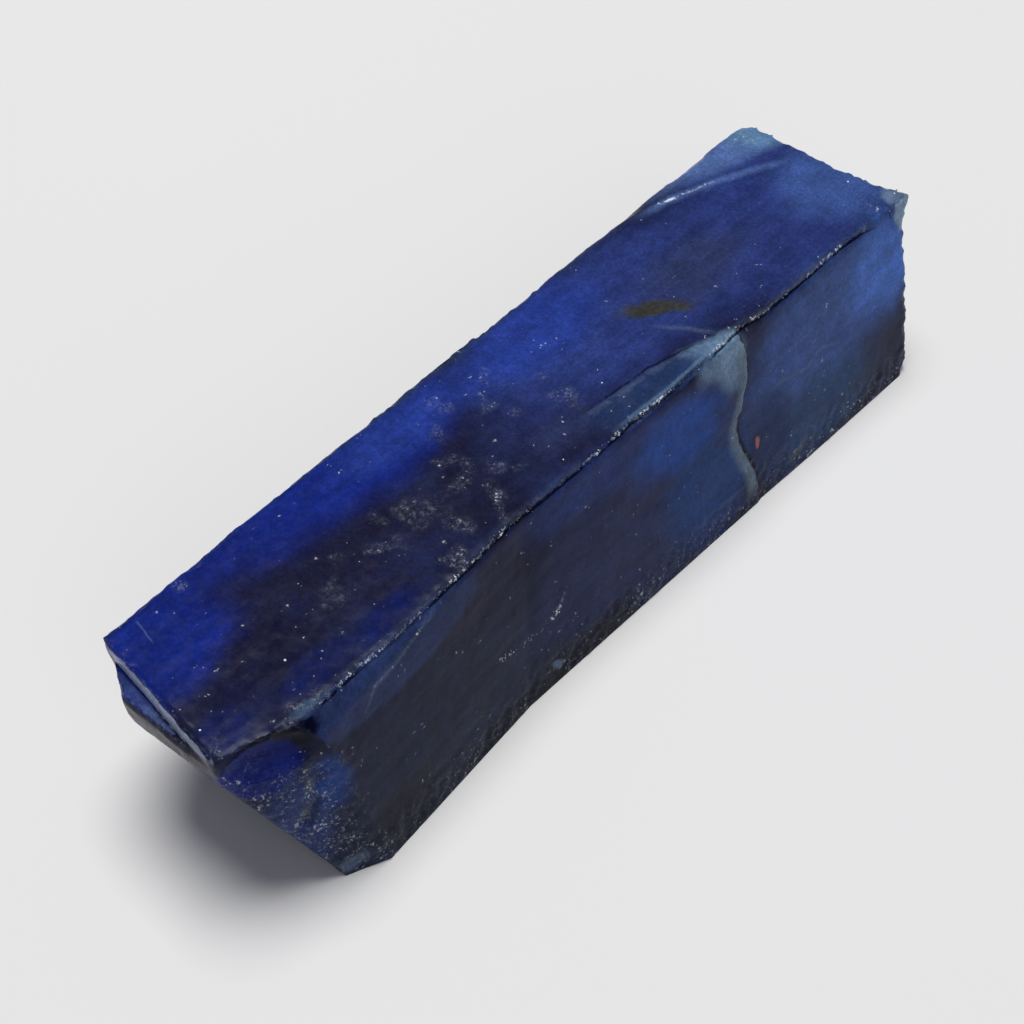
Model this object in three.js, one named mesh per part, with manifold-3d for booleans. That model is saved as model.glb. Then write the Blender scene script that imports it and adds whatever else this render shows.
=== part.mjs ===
// Rough tanzanite: one bar-shaped fragment of a zoisite crystal, lying on its flat base.
// Flat cleavage faces bound it, and breaks, flakes and shell-shaped chips shape its ends and edges.
// Millimetres, +Z up. X runs along the bar from the overhanging break to the square break.
import * as THREE from "three";
import { mergeVertices } from "three/addons/utils/BufferGeometryUtils.js";
import Module from "manifold-3d";

const wasm = await Module();
wasm.setup();

// Driving dimensions of the whole bar.
const LENGTH = 64.2; // from the ledge on the overhanging end to the square end
const HEIGHT = 14.5; // from the base to the top face along its left edge
const BASE_WIDTH = 16; // between the two long sides, where they meet the base
const OVERHANG = 4.7; // how far the broken end leans out over its foot
const NEAR_END = -LENGTH / 2;
const FAR_END = LENGTH / 2;
const RIGHT_FOOT = -BASE_WIDTH / 2;

// Size of the blank that is cut, and of the blocks that cut it.
const BLANK = 100;
const CHIP_DETAIL = 9; // splits along each edge of an icosahedron
const STONE_COLOUR = 0x1b2a63;

// A unit direction. Compass is counter-clockwise from +X, rise is above the horizon, both in degrees.
function facing(compass, rise) {
  const [around, up] = [compass, rise].map(THREE.MathUtils.degToRad);
  const flat = Math.cos(up);
  return new THREE.Vector3(flat * Math.cos(around), flat * Math.sin(around), Math.sin(up));
}

// A closed three.js geometry as a solid that can be cut and joined.
function solidOf(geometry) {
  const bare = geometry.clone();
  bare.deleteAttribute("normal");
  bare.deleteAttribute("uv");
  const merged = mergeVertices(bare, 1e-5);
  return new wasm.Manifold(
    new wasm.Mesh({
      numProp: 3,
      vertProperties: new Float32Array(merged.attributes.position.array),
      triVerts: new Uint32Array(merged.index.array),
    }),
  );
}

// Everything beyond a flat face, which is a point on it and the way that it faces.
function beyond({ through, faces }) {
  const block = new THREE.BoxGeometry(BLANK, BLANK, BLANK).translate(0, 0, BLANK / 2);
  const turn = new THREE.Quaternion().setFromUnitVectors(new THREE.Vector3(0, 0, 1), faces);
  return solidOf(block.applyQuaternion(turn).translate(...through));
}

// Breaks off all that lies beyond one flat face.
const cleave = (stone, face) => stone.subtract(beyond(face));

// Breaks out a corner that lies beyond two flat faces at once, which leaves a step or a valley.
const notch = (stone, one, other) => stone.subtract(beyond(one).intersect(beyond(other)));

// Breaks out a shell-shaped chip: an ellipsoid with its middle at a point,
// tipped about Y and then turned about Z.
function scoop(stone, { at, radii, turn = 0, tip = 0 }) {
  const [about, over] = [turn, tip].map(THREE.MathUtils.degToRad);
  const ball = new THREE.IcosahedronGeometry(1, CHIP_DETAIL)
    .scale(...radii)
    .rotateY(over)
    .rotateZ(about)
    .translate(...at);
  return stone.subtract(solidOf(ball));
}

// The flat faces. The top leans a little to the right, and the right side is two faces
// that meet in a shallow hollow.
const TOP = { through: [0, 7.9, HEIGHT], faces: new THREE.Vector3(0, -0.024, 1).normalize() };
const BASE = { through: [0, 0, 0], faces: new THREE.Vector3(0, 0, -1) };
const RIGHT_NEAR = { through: [-17.7, RIGHT_FOOT - 0.45, 0], faces: facing(-85.6, 12) };
const RIGHT_FAR = { through: [7, RIGHT_FOOT - 0.25, 0], faces: facing(-91.2, 13.1) };
const LEFT_UPPER = { through: [0.3, 7.5, HEIGHT], faces: facing(90.7, 8) };
const LEFT_LOWER = { through: [0, 8.75, 7.5], faces: facing(89.5, -10) };
const SQUARE_END = { through: [FAR_END - 0.5, 0.4, HEIGHT], faces: facing(-1.5, -3) };
const KNOB_END = { through: [FAR_END + 0.1, 0.4, HEIGHT], faces: SQUARE_END.faces };
const LEDGE_FRONT = { through: [NEAR_END, 0, 12.6], faces: facing(180, -6) };

function cleavageBlock() {
  const blank = solidOf(new THREE.BoxGeometry(BLANK, BLANK, BLANK));
  const flat = [TOP, BASE, LEFT_UPPER, LEFT_LOWER, KNOB_END, LEDGE_FRONT].reduce(cleave, blank);
  return notch(flat, RIGHT_NEAR, RIGHT_FAR);
}

// The overhanging end: a top layer set back behind a ledge, and two breaks that run in
// below the ledge to the foot.
function breakOverhang(stone) {
  const undercut = { through: [NEAR_END + OVERHANG, 1, 0], faces: facing(-177.5, -22.3) };
  const lowLeft = { through: [-27.4, -5, 0], faces: facing(143, -40) };
  const topLayer = { through: [-30.67, 7.2, HEIGHT], faces: facing(171.7, -2) };
  const ledgeTop = { through: [NEAR_END, 0, 13], faces: facing(180, 84) };
  const ledgeSide = { through: [-31.95, 4.2, 12], faces: facing(145, -6) };
  const corner = { through: [-26.6, -7.95, 0], faces: facing(-113.9, 6.7) };
  const cornerTip = { through: [-27.85, -7.05, 0.55], faces: facing(-152, -32) };
  const leftCorner = { through: [-30.6, 6.9, 13.6], faces: facing(128, -20) };
  let broken = [undercut, lowLeft, leftCorner].reduce(cleave, stone);
  broken = notch(broken, topLayer, ledgeTop);
  broken = notch(broken, topLayer, ledgeSide);
  broken = [corner, cornerTip].reduce(cleave, broken);
  // The dark hollow just under the top edge of that corner.
  return scoop(broken, { at: [-29.65, -6.4, 13.1], radii: [3.8, 2, 2.6], turn: -23.9, tip: -4 });
}

// The ridge between the top and the right side: a bevel at the near end and a long shallow chip further on.
function breakRidge(stone) {
  const bevel = { through: [-26, -5.35, 14.2], faces: facing(-88.2, 35) };
  const longSlope = { through: [6.8, -3.4, 14.24], faces: facing(-102, 80) };
  const shortSlope = { through: [-2.5, -3.45, 14.24], faces: facing(-67, 85) };
  const bevelEnd = { through: [-10, 0, HEIGHT], faces: facing(180, 0) };
  return notch(notch(stone, bevel, bevelEnd), longSlope, shortSlope);
}

// The flake lost from the far part of the right side, drawn along and up from the foot of its ragged edge.
// It gets thinner towards its foot and towards the square end, and leaves a knob at the top corner.
function liftFlake(stone) {
  const depth = { top: 0.42, foot: 0.1 };
  const taper = THREE.MathUtils.degToRad(1);
  const start = 13.3;
  const raggedEdge = [
    [0, 16], [0, 14.6], [0.4, 13], [0.6, 11.6], [0.25, 10.2], [-0.2, 9.2], [-1, 8.1],
    [-1.35, 6.6], [-0.85, 4.8], [-0.2, 3.2], [0, 1.5], [-0.1, -1],
  ];
  const roundTheKnob = [[22, -1], [22, 12.2], [16.8, 12.5], [16.4, 13.4], [16, 16]];
  const corners = [...raggedEdge, ...roundTheKnob].map(([along, up]) => new THREE.Vector2(along, up));
  const slab = new THREE.ExtrudeGeometry(new THREE.Shape(corners), { depth: 4, bevelEnabled: false });
  const { through, faces } = RIGHT_FAR;
  const lean = Math.asin(faces.z) + Math.atan((depth.top - depth.foot) / HEIGHT);
  const foot = through[1] - (start - through[0]) * (faces.x / faces.y);
  slab.rotateX(Math.PI / 2 - lean);
  slab.rotateZ(Math.atan2(faces.y, faces.x) + Math.PI / 2 - taper);
  slab.translate(start, foot + depth.foot, 0);
  return stone.subtract(solidOf(slab));
}

// The square end: a break that leaves a knob at the top right corner, a chipped left corner in two slopes,
// a broken foot and shell marks on the break itself.
function breakSquareEnd(stone) {
  const knob = new THREE.IcosahedronGeometry(1, CHIP_DETAIL)
    .scale(2.2, 1.5, 1.7)
    .translate(FAR_END - 0.6, -5.2, 13.9);
  const broken = stone.subtract(beyond(SQUARE_END).subtract(solidOf(knob)));
  const cornerSlope = { through: [25.6, 4.5, 14.42], faces: facing(67.2, 81.5) };
  const edgeSlope = { through: [17.1, 6.75, 14.48], faces: facing(86.6, 66) };
  const tip = { through: [FAR_END - 0.9, 7.1, 13.5], faces: facing(42, 4) };
  const foot = { through: [30.4, -8.2, 0.4], faces: facing(-40, -42) };
  const chipped = [cornerSlope, edgeSlope, tip, foot].reduce(cleave, broken);
  const shell = scoop(chipped, { at: [FAR_END + 0.1, 1.2, 9], radii: [2.1, 9, 7.5], turn: 2 });
  return scoop(shell, { at: [FAR_END + 0.8, -4.4, 3.6], radii: [1.5, 3, 3.2], turn: -6 });
}

// The left side: a cleavage step half way along, long shell marks and a broken foot.
function breakLeftSide(stone) {
  const farFace = { through: [1.3, 7.3, HEIGHT], faces: facing(91.1, 8) };
  const step = { through: [1.2, 7.9, HEIGHT], faces: facing(24, -22) };
  const foot = { through: [0, 7.1, 0.5], faces: facing(91, -48) };
  let broken = cleave(notch(stone, farFace, step), foot);
  broken = scoop(broken, { at: [-14.5, 9.4, 4.6], radii: [9.5, 1.9, 4.4], turn: 2, tip: -6 });
  broken = scoop(broken, { at: [18.5, 9.3, 6.4], radii: [8, 1.6, 3.6], turn: 1, tip: 9 });
  return scoop(broken, { at: [3, 9.1, 11.6], radii: [4.2, 1.5, 2.2], tip: -14 });
}

// Small bites along the left top edge and the ridge, where the stone has knocked against others.
function chipEdges(stone) {
  const leftEdge = [-24.6, -17.2, -8.4, 2.4, 6.1, 11.8].map((x, i) => ({
    at: [x, 8.05, HEIGHT + 0.25],
    radii: [0.9 + 0.35 * (i % 3), 0.75, 0.6],
    turn: 12 * ((i % 2) - 0.5),
  }));
  const ridgePlaces = [[-23.2, -5.65], [-12.6, -5.25], [-3.4, -5.05], [18.6, -5.35], [24.8, -5.55]];
  const ridge = ridgePlaces.map(([x, y], i) => ({
    at: [x, y, HEIGHT],
    radii: [1.3 - 0.35 * (i % 3), 0.5, 0.45],
    turn: 8 * ((i % 2) - 0.5),
  }));
  return [...leftEdge, ...ridge].reduce(scoop, stone);
}

// A solid as a flat-shaded geometry, with its box centred over the origin and its base on z = 0.
function facetedGeometry(solid) {
  const { vertProperties, triVerts } = solid.getMesh();
  const geometry = new THREE.BufferGeometry()
    .setAttribute("position", new THREE.BufferAttribute(vertProperties, 3))
    .setIndex(new THREE.BufferAttribute(triVerts, 1))
    .toNonIndexed();
  geometry.computeBoundingBox();
  const middle = geometry.boundingBox.getCenter(new THREE.Vector3());
  geometry.translate(-middle.x, -middle.y, -geometry.boundingBox.min.z);
  geometry.computeVertexNormals();
  return geometry;
}

const steps = [breakOverhang, breakRidge, liftFlake, breakSquareEnd, breakLeftSide, chipEdges];
const stone = steps.reduce((solid, step) => step(solid), cleavageBlock());
const finish = new THREE.MeshStandardMaterial({ color: STONE_COLOUR, roughness: 0.35, metalness: 0 });
const tanzanite = new THREE.Mesh(facetedGeometry(stone), finish);
tanzanite.name = "rough_tanzanite";

const part = new THREE.Group();
part.add(tanzanite);
export default part;
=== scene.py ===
"""A rough tanzanite lying on white paper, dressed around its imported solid."""

import logging
import math
from dataclasses import dataclass, field
from enum import Enum
from typing import Any, NamedTuple

import bpy
import numpy as np
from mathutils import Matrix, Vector, noise


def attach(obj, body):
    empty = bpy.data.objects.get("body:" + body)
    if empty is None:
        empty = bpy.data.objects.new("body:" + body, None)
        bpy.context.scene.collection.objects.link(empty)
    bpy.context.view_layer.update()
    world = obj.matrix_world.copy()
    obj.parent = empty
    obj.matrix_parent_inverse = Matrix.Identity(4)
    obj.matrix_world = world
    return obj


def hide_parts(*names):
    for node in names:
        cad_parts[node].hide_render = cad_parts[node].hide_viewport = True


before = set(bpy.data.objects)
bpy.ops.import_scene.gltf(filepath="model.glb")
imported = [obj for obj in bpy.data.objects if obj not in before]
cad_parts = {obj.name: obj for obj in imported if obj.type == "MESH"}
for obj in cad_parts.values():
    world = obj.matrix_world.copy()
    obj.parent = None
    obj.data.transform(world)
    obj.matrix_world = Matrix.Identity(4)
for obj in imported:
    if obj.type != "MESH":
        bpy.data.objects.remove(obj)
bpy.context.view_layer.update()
MM = 0.001
NODE = "rough_tanzanite"
NOISE_MIDDLE = 0.5
WEAR_MASK = "rim"
FINISH_MASKS = ("frost", "crumble", "edge")
log = logging.getLogger("rough_tanzanite")

Colour = tuple[float, float, float]
Point = tuple[float, float, float]
Limits = tuple[float, float]


class Grain(NamedTuple):
    """Size of a noise in millimetres, how many finer copies it has and how strong they are."""

    size: float
    detail: float
    rough: float = 0.6


class Ramp(NamedTuple):
    """A value that is eased from start at low to end at high."""

    low: float
    high: float
    start: float = 0.0
    end: float = 1.0


class Flecks(NamedTuple):
    """Size of the noise that flecks are the peaks of, in millimetres, and how far they cover at most."""

    size: float
    most: float


class Palette(Enum):
    """The stone's colours, as linear red, green and blue."""

    INK = (0.0105, 0.0110, 0.0330)
    CORE = (0.0064, 0.0060, 0.0270)
    NAVY = (0.0130, 0.0180, 0.0590)
    # Cobalt zoning, with a painted glow of light shining in through the left edge.
    COBALT_GLOW = (0.0070, 0.0180, 0.1650)
    BRIGHT_COBALT_GLOW = (0.0190, 0.0410, 0.2350)
    ROYAL = (0.0225, 0.0390, 0.1650)
    DENIM = (0.0250, 0.0350, 0.1000)
    STEEL = (0.0460, 0.0900, 0.2750)
    CHIP_BLUE = (0.0780, 0.1400, 0.3300)
    TEAL = (0.0950, 0.1950, 0.3400)
    PALE = (0.2200, 0.3200, 0.4300)
    RIM = (0.0280, 0.0500, 0.0950)
    BLUE_PATCH = (0.0045, 0.0100, 0.0760)
    OLIVE = (0.0380, 0.0390, 0.0340)
    LAVENDER = (0.3200, 0.3700, 0.5200)
    LEDGE_BLUE = (0.0320, 0.0500, 0.1700)
    LENS_BLUE = (0.0220, 0.0560, 0.1600)
    SIDE_RIDGE = (0.0200, 0.0370, 0.1420)
    SIDE_GREY = (0.0135, 0.0178, 0.0440)
    SIDE_SLATE = (0.0200, 0.0390, 0.1350)
    SIDE_NAVY = (0.0175, 0.0255, 0.0800)
    SIDE_BLUE = (0.0140, 0.0590, 0.2700)
    SIDE_TEAL = (0.0090, 0.0420, 0.1650)
    SIDE_STEEL = (0.0400, 0.0850, 0.2600)
    SIDE_BRIGHT = (0.0600, 0.1500, 0.5000)
    SIDE_DEEP = (0.0120, 0.0260, 0.0850)
    SIDE_LOW = (0.0220, 0.0520, 0.1320)
    BEVEL_BLUE = (0.0230, 0.0390, 0.1180)
    PALE_SLAB = (0.1500, 0.2450, 0.3700)
    DULL_SLAB = (0.1250, 0.1750, 0.2300)
    # Painted shade under the rim of the hollow at the near corner.
    HOLLOW_SHADE = (0.0002, 0.0003, 0.0110)
    HOLLOW_BLUE = (0.0030, 0.0140, 0.1900)
    # Dark of cracks, and also painted shade in the groove below the ridge and beside the slab's proud edge.
    CRACK_AND_SHADE = (0.0010, 0.0016, 0.0080)
    OLIVE_PALE = (0.1000, 0.1050, 0.0850)
    # Pale frost, chips and rims, and a painted highlight along the lens.
    MIST = (0.1300, 0.1900, 0.2800)
    CHALK = (0.3300, 0.3800, 0.4400)
    # White of the flecks, sparks and crest glints: painted glints, with some specks of dirt.
    SPARK = (0.8200, 0.8600, 0.9000)
    RUST = (0.3400, 0.1100, 0.0900)
    # Darker along the foot of the right side.
    FOOT_DARK = (0.0070, 0.0072, 0.0110)

    def paint(self) -> tuple[float, float, float, float]:
        """The colour as a socket takes it."""
        return (*self.value, 1.0)


class Texture(Enum):
    """Kinds of pattern that raise or sink the stone's skin."""

    CLOUDS = "CLOUDS"
    CELLS = "VORONOI"
    PLAIN = "NONE"


class Course(Enum):
    """How a track runs: the axis that it follows, and how X, Y and Z count across it."""

    ALONG_RIDGE = (0, (0.0, 1.0, 1.0))
    ALONG_TOP = (0, (0.0, 1.0, 0.0))
    ACROSS_TOP = (1, (1.0, 0.0, 0.0))
    ALONG_SIDE = (0, (0.0, 0.0, 1.0))
    UP_SIDE = (2, (1.0, 0.0, 0.0))


# A track on the ridge lies below RIDGE_Y along Y and above RIDGE_Z, one on the top above TOP_Z, in millimetres.
# The leans are the least share of the normal along +Z on the top, and the most along +Y on the right side.
RIDGE_Y = -2.5
RIDGE_Z = 11.0
TOP_Z = 12.5
TOP_LEAN = 0.6
SIDE_LEAN = -0.4
# A facet fades over these shares of its reach, of the normal along +Z and of the normal along its own way.
FACET_RIM: Limits = (1.15, 0.6)
FACET_NOT_UP: Limits = (0.9, 0.75)
FACET_TOWARDS: Limits = (0.75, 0.9)


@dataclass(frozen=True)
class Zone:
    """A soft-edged ellipsoid of one colour inside the stone, in millimetres.

    Args:
        colour: What the zone is coloured.
        middle: Its middle.
        reach: Its half lengths along its own axes.
        share: How far it covers what lies under it, from 0 to 1.
        turn: How far it is turned about Z, in degrees.
        edge: Where its soft edge is fully covered, from 0 at the rim to 1 at the middle.
    """

    colour: Palette
    middle: Point
    reach: Point
    share: float = 1.0
    turn: float = 0.0
    edge: float = 0.6


@dataclass(frozen=True)
class Track:
    """A line on one face of the stone, such as a crack or the rim of a flake.

    Args:
        name: What it is, and how the names of its two masks start.
        course: How it runs.
        points: Where it runs: a place along it and the level across it, in millimetres.
        taper: How far from each end it starts to fade, in millimetres.
    """

    name: str
    course: Course
    points: tuple[tuple[float, float], ...]
    taper: float = 1.5

    def gap(self, places: np.ndarray) -> np.ndarray:
        """Distance across the line from each place, less than 0 on its lower side.

        Args:
            places: One row of x, y and z per place, in millimetres.

        Returns:
            One distance per place, in millimetres.
        """
        follow, counts = self.course.value
        stations, levels = zip(*self.points)
        return places @ np.array(counts) - np.interp(places[:, follow], stations, levels)

    def run(self, places: np.ndarray, normals: np.ndarray) -> np.ndarray:
        """How far the line is there at each place: 0 past its ends and on other faces.

        Args:
            places: One row of x, y and z per place, in millimetres.
            normals: The outward direction at each place.

        Returns:
            A share from 0 to 1 per place.
        """
        along = places[:, self.course.value[0]]
        from_end = np.minimum(along - self.points[0][0], self.points[-1][0] - along)
        return smooth_step(0.0, self.taper, from_end) * self._faces(places, normals)

    def _faces(self, places: np.ndarray, normals: np.ndarray) -> np.ndarray:
        """Which places are on the face that the line runs on.

        Args:
            places: One row of x, y and z per place, in millimetres.
            normals: The outward direction at each place.

        Returns:
            True or false per place.
        """
        if self.course is Course.ALONG_RIDGE:
            return (places[:, 1] < RIDGE_Y) & (places[:, 2] > RIDGE_Z)
        if self.course in (Course.ALONG_TOP, Course.ACROSS_TOP):
            return (places[:, 2] > TOP_Z) & (normals[:, 2] > TOP_LEAN)
        return normals[:, 1] < SIDE_LEAN


@dataclass(frozen=True)
class Stroke:
    """Colour laid along a track.

    Args:
        track: Name of the track.
        colour: What it is coloured.
        width: Half its width, in millimetres.
        share: How far it covers what lies under it, from 0 to 1.
        offset: How far it is moved across the track, in millimetres.
        breaks: How broken it is, from 0 for whole to 1 for gone.
        core: Share of the width that is fully covered.
    """

    track: str
    colour: Palette
    width: float
    share: float = 1.0
    offset: float = 0.0
    breaks: float = 0.0
    core: float = 0.0


@dataclass(frozen=True)
class Glints:
    """A chain of white flecks along a track: painted glints.

    Args:
        track: Name of the track.
        width: Half the chain's width, in millimetres.
        plenty: How many flecks there are, from 0 for none to about 1.6.
        offset: How far it is moved across the track, in millimetres.
    """

    track: str
    width: float
    plenty: float
    offset: float = 0.0


@dataclass(frozen=True)
class Facet:
    """Skin of one colour that faces one way near one place.

    Args:
        name: What it is, and the name of the mask that holds it.
        colour: What it is coloured.
        faces: The way that it faces, or no length for any way but up.
        middle: The middle of its place, in millimetres.
        reach: Half the lengths of its place along X, Y and Z, in millimetres.
        share: How far it covers what lies under it, from 0 to 1.
    """

    name: str
    colour: Palette
    faces: Point
    middle: Point
    reach: Point
    share: float = 1.0

    def mask(self, places: np.ndarray, normals: np.ndarray) -> np.ndarray:
        """How far each place belongs to the facet.

        Args:
            places: One row of x, y and z per place, in millimetres.
            normals: The outward direction at each place.

        Returns:
            A share from 0 to 1 per place.
        """
        near = smooth_step(*FACET_RIM, np.linalg.norm((places - self.middle) / self.reach, axis=1))
        if not any(self.faces):
            return near * smooth_step(*FACET_NOT_UP, normals[:, 2])
        return near * smooth_step(*FACET_TOWARDS, normals @ np.array(self.faces))


@dataclass(frozen=True)
class Relief:
    """One layer of relief on the stone's skin.

    Args:
        name: What the layer is.
        texture: Its kind of pattern.
        size: Size of the pattern, in millimetres.
        height: From its lowest to its highest, in millimetres.
        mask: Name of the mask that holds it.
        middle: Pattern value that leaves the skin where it is.
        depth: How many finer copies are laid over the pattern.
        stretch: How much longer the pattern is along X, Y and Z.
    """

    name: str
    texture: Texture
    size: float
    height: float
    mask: str
    middle: float = 0.5
    depth: int = 2
    stretch: Point = (1.0, 1.0, 1.0)


def smooth_step(low: float, high: float, value: np.ndarray) -> np.ndarray:
    """Eases from 0 at low to 1 at high.

    Args:
        low: Where the result is 0.
        high: Where the result is 1.
        value: What is eased.

    Returns:
        The eased values.
    """
    t = np.clip((value - low) / (high - low), 0.0, 1.0)
    return t * t * (3.0 - 2.0 * t)


def bell(value: np.ndarray, width: float) -> np.ndarray:
    """A rise to 1 where the value is 0, which fades over the width."""
    return np.exp(-((value / width) ** 2))


class Nodes:
    """Adds nodes to one material, with fewer words."""

    def __init__(self, material: bpy.types.Material) -> None:
        """Empties the material's node tree.

        Args:
            material: The material to fill.
        """
        material.use_nodes = True
        self.tree = material.node_tree
        self.tree.nodes.clear()

    def add(self, kind: str, inputs: dict[Any, Any] | None = None, **settings: Any) -> bpy.types.Node:
        """Adds one node.

        Args:
            kind: Blender's name for it.
            inputs: Value or linked socket for each input, by name or number.
            settings: The node's own properties.

        Returns:
            The node.
        """
        node = self.tree.nodes.new(kind)
        for name, value in settings.items():
            setattr(node, name, value)
        for key, value in (inputs or {}).items():
            if isinstance(value, bpy.types.NodeSocket):
                self.tree.links.new(value, node.inputs[key])
            else:
                node.inputs[key].default_value = value
        return node

    def sum(self, operation: str, *values: Any, clamp: bool = False) -> bpy.types.NodeSocket:
        """Result of one sum.

        Args:
            operation: Blender's name for it.
            values: Numbers or sockets.
            clamp: Whether the result is kept from 0 to 1.

        Returns:
            The result's socket.
        """
        node = self.add("ShaderNodeMath", dict(enumerate(values)), operation=operation, use_clamp=clamp)
        return node.outputs[0]

    def blend(self, share: Any, under: Any, over: Any, kind: str = "MIX") -> bpy.types.NodeSocket:
        """One colour laid over another.

        Args:
            share: How far the upper one covers.
            under: The lower colour.
            over: The upper colour.
            kind: Blender's name for the way they mix.

        Returns:
            The mixed colour's socket.
        """
        node = self.add("ShaderNodeMix", data_type="RGBA", blend_type=kind, clamp_factor=True)
        for socket, value in zip((node.inputs[0], node.inputs[6], node.inputs[7]), (share, under, over)):
            if isinstance(value, bpy.types.NodeSocket):
                self.tree.links.new(value, socket)
            else:
                socket.default_value = value
        return node.outputs[2]

    def ease(
        self, value: Any, low: float, high: float, start: float = 0.0, end: float = 1.0
    ) -> bpy.types.NodeSocket:
        """A value eased between two limits.

        Args:
            value: The socket that is eased.
            low: Value that gives start.
            high: Value that gives end.
            start: Result at low.
            end: Result at high.

        Returns:
            The eased value's socket.
        """
        limits = {"Value": value, "From Min": low, "From Max": high, "To Min": start, "To Max": end}
        node = self.add("ShaderNodeMapRange", limits, interpolation_type="SMOOTHSTEP", clamp=True)
        return node.outputs[0]

    def noise(self, place: Any, grain: Grain) -> bpy.types.NodeSocket:
        """Cloudy noise.

        Args:
            place: Coordinates' socket.
            grain: Its size and its finer copies.

        Returns:
            The noise's socket.
        """
        return self._noise_node(place, grain).outputs["Fac"]

    def wander(self, place: Any, grain: Grain) -> bpy.types.NodeSocket:
        """Cloudy noise with three values, for X, Y and Z.

        Args:
            place: Coordinates' socket.
            grain: Its size and its finer copies.

        Returns:
            The noise's socket.
        """
        return self._noise_node(place, grain).outputs["Color"]

    def _noise_node(self, place: Any, grain: Grain) -> bpy.types.Node:
        """Adds one noise node.

        Args:
            place: Coordinates' socket.
            grain: Its size and its finer copies.

        Returns:
            The node.
        """
        scale = 1.0 / (grain.size * MM)
        values = {"Vector": place, "Scale": scale, "Detail": grain.detail, "Roughness": grain.rough}
        return self.add("ShaderNodeTexNoise", values)

    def attribute(self, name: str) -> bpy.types.NodeSocket:
        """The mask of that name on the stone."""
        return self.add("ShaderNodeAttribute", attribute_name=name).outputs["Fac"]


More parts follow.
